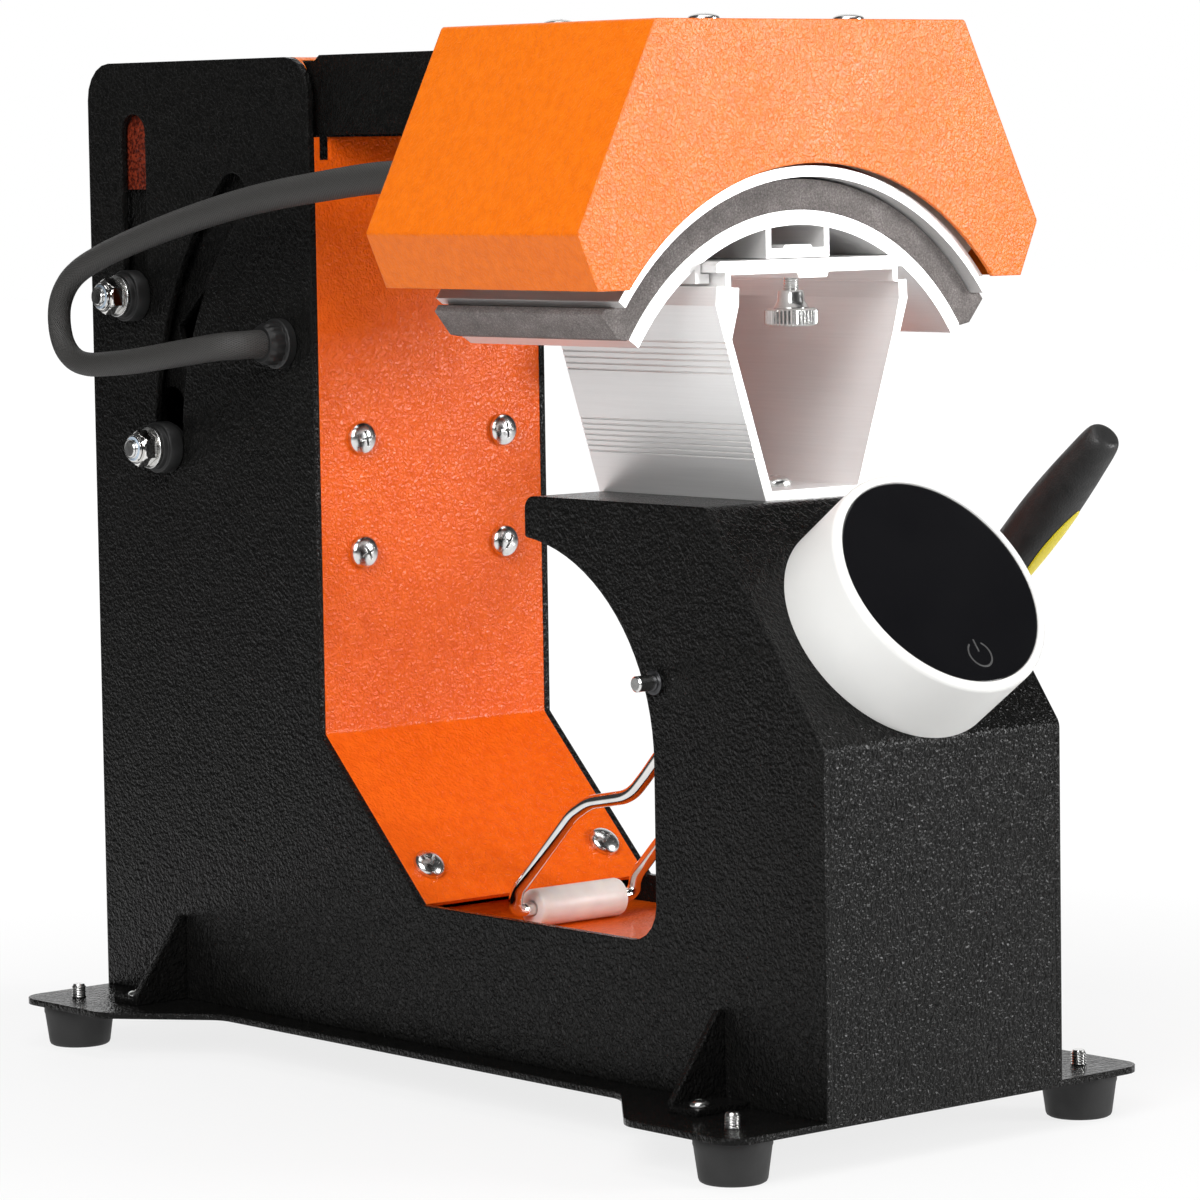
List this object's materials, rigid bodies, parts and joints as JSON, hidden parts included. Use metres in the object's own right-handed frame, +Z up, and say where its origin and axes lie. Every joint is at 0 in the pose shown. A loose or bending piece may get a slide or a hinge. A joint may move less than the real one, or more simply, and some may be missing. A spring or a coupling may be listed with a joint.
{
  "type": "cap heat press",
  "caption": "Bench press for caps: a C frame with a hooded heated head that lifts and tilts back by a side lever, above a curved padded cap platen on a post.",
  "frame": {"origin": "centre of the base plate's underside, on the frame's middle plane", "axes": "+Z up, -Y towards the user at the pedestal, +X to the user's right where the lever is"},
  "size_m": [0.2523, 0.4714, 0.4166],
  "materials": {
    "black_powder_coat": "fine textured powder coat",
    "orange_powder_coat": "fine textured powder coat",
    "zinc_plate": "bright zinc",
    "chrome_wire": "bright",
    "dark_steel": "blackened",
    "anodised_aluminium": "satin extrusion",
    "silicone_pad": "speckled silicone foam",
    "foot_rubber": "matt",
    "black_nylon": "matt",
    "white_plastic": "satin",
    "black_glass": "gloss",
    "white_ptfe": "milky",
    "circuit_board": "solder mask",
    "red_rocker": "gloss",
    "heater_silicone": "matt",
    "ceramic_wool": "felted",
    "grip_rubber": "moulded",
    "braided_sleeve": "braided"
  },
  "bodies": {
    "frame": {"base_plate": "black_powder_coat", "side_plate_left": "black_powder_coat", "side_plate_right": "black_powder_coat", "rear_side_right": "black_powder_coat", "upper_side_right": "black_powder_coat", "pedestal_side_right": "black_powder_coat", "pedestal_cover": "black_powder_coat", "pedestal_back": "black_powder_coat", "column_panel": "orange_powder_coat", "floor_sheet": "orange_powder_coat", "rear_cover": "black_powder_coat", "column_brace": "dark_steel", "panel_brackets": "dark_steel", "gussets": "black_powder_coat", "rubber_feet": "foot_rubber", "foot_screws": "zinc_plate", "gusset_screws": "zinc_plate", "panel_screws": "zinc_plate", "hanger_guide": "black_nylon", "lever_bearing": "dark_steel", "cable_gland": "black_nylon", "power_inlet": "black_nylon", "switch_housing": "black_nylon", "circuit_boards": "circuit_board", "drum_ring": "white_plastic", "drum_glass": "black_glass", "drum_base": "white_plastic", "platen_post": "anodised_aluminium", "post_screws": "zinc_plate", "pivot_rod": "zinc_plate", "pivot_clips": "zinc_plate", "return_spring": "zinc_plate", "head_cable": "braided_sleeve"},
    "lever": {"lever_arm": "black_powder_coat", "lever_grip": "grip_rubber"},
    "carriage": {"lift_axle": "zinc_plate", "lift_bushes": "black_nylon", "lift_washers": "zinc_plate", "lift_nuts": "zinc_plate", "lift_hanger": "dark_steel"},
    "guide_axle": {"guide_axle": "zinc_plate", "guide_bushes": "black_nylon", "guide_washers": "zinc_plate", "guide_nuts": "zinc_plate"},
    "head": {"head_arms": "black_powder_coat", "head_cover": "orange_powder_coat", "cover_screws": "zinc_plate", "hood": "orange_powder_coat", "hood_screws": "zinc_plate", "heated_platen": "anodised_aluminium", "heater_mat": "heater_silicone", "insulation": "ceramic_wool", "platen_studs": "zinc_plate", "cable_grommet": "black_nylon"},
    "cap_platen": {"lower_platen": "anodised_aluminium", "platen_pad": "silicone_pad"},
    "thumb_screw": {"thumb_screw": "zinc_plate"},
    "hold_down": {"hold_down_wire": "chrome_wire"},
    "roller": {"hold_down_roller": "white_ptfe"},
    "rocker": {"switch_rocker": "red_rocker"}
  },
  "joints": [
    {"name": "lever_turn", "type": "hinge", "parent": "frame", "child": "lever", "pos_m": [0.05, 0.199, 0.2245], "axis": [-1, 0, 0], "range_deg": [0, 66]},
    {"name": "head_lift", "type": "slide", "parent": "frame", "child": "carriage", "axis": [0, 0, 1], "range_m": [0, 0.066], "deforming": ["head_cable"]},
    {"name": "guide_swing", "type": "hinge", "parent": "frame", "child": "guide_axle", "pos_m": [0, 0.03322, 0.2312], "axis": [1, 0, 0], "range_deg": [0, 48.89]},
    {"name": "head_tilt", "type": "hinge", "parent": "carriage", "child": "head", "pos_m": [0, 0.1896, 0.293], "axis": [-1, 0, 0], "range_deg": [0, 50]},
    {"name": "platen_slide", "type": "slide", "parent": "frame", "child": "cap_platen", "axis": [0, -1, 0], "range_m": [0, 0.09]},
    {"name": "thumb_screw_turn", "type": "hinge", "parent": "frame", "child": "thumb_screw", "pos_m": [0, -0.1425, 0.29], "axis": [0, 0, 1], "continuous": true},
    {"name": "hold_down_hinge", "type": "hinge", "parent": "frame", "child": "hold_down", "pos_m": [0, -0.1325, 0.1549], "axis": [1, 0, 0], "range_deg": [0, 35], "stiffness_Nm_per_rad": 0.6, "springref_deg": -28.65},
    {"name": "roller_spin", "type": "hinge", "parent": "hold_down", "child": "roller", "pos_m": [0, -0.013, 0.0545], "axis": [1, 0, 0], "continuous": true},
    {"name": "power_switch", "type": "hinge", "parent": "frame", "child": "rocker", "pos_m": [0.024, 0.216, 0.0505], "axis": [0, 0, -1], "range_deg": [0, 16]}
  ],
  "couplings": [
    {"joint": "head_lift", "follows": "lever_turn", "m_per_rad": 0.057296},
    {"joint": "guide_swing", "follows": "lever_turn", "ratio": 0.74071},
    {"joint": "head_tilt", "follows": "lever_turn", "ratio": 0.75758}
  ]
}
